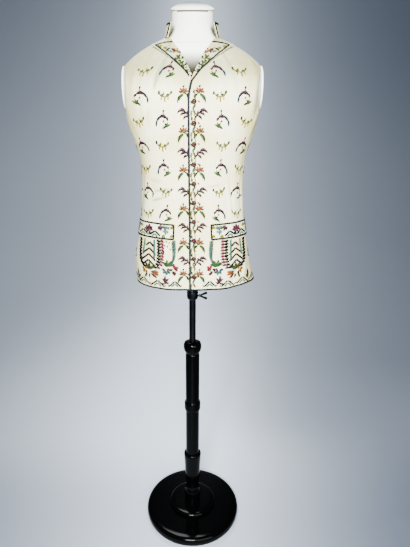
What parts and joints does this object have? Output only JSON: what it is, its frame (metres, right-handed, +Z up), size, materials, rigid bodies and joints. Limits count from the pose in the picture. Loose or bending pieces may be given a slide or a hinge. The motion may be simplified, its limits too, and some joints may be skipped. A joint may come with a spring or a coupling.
{
  "type": "embroidered waistcoat on dress form stand",
  "caption": "Sleeveless embroidered waistcoat with lapels, stand collar, pocket flaps and covered buttons, worn by a limbless dress form on a turned round-base stand.",
  "frame": {"origin": "centre of the stand base's flat underside", "axes": "+Z up; the waistcoat's front faces -Y; the wearer's left side is +X, on the viewer's right"},
  "size_m": [0.3766, 0.33, 1.6387],
  "materials": {
    "silk": "fine ribbed cream silk with coloured silk embroidery, soft sheen",
    "linen": "plain cream linen",
    "button": "cloth covered button with a crimson worked centre",
    "jersey": "smooth off-white jersey over rigid foam",
    "lacquer": "gloss black lacquer",
    "steel": "dark blued steel, smooth"
  },
  "bodies": {
    "stand": {"base": "lacquer", "base_disc": "lacquer", "column_foot": "lacquer", "column": "lacquer", "column_cap": "lacquer", "tube": "steel"},
    "clamp": {"clamp_collar": "steel"},
    "form": {"torso_form": "jersey", "neck_cap": "jersey", "arm_plate_right": "jersey", "arm_plate_left": "jersey", "socket": "steel", "front_right": "silk", "front_left": "silk", "back_right": "linen", "back_left": "linen", "lapel_right": "silk", "lapel_left": "silk", "collar": "silk", "flap_right": "silk", "flap_left": "silk", "button_01": "button", "button_02": "button", "button_03": "button", "button_04": "button", "button_05": "button", "button_06": "button", "button_07": "button", "button_08": "button", "button_09": "button", "button_10": "button"},
    "screw": {"wing_screw": "steel"}
  },
  "joints": [
    {"name": "height_slide", "type": "slide", "parent": "stand", "child": "clamp", "axis": [0, 0, 1], "range_m": [-0.12, 0.15]},
    {"name": "form_swivel", "type": "hinge", "parent": "clamp", "child": "form", "pos_m": [0, 0, 0.8402], "axis": [0, 0, 1], "continuous": true},
    {"name": "screw_turn", "type": "hinge", "parent": "clamp", "child": "screw", "pos_m": [0, 0, 0.827], "axis": [1, 0, 0], "continuous": true}
  ]
}
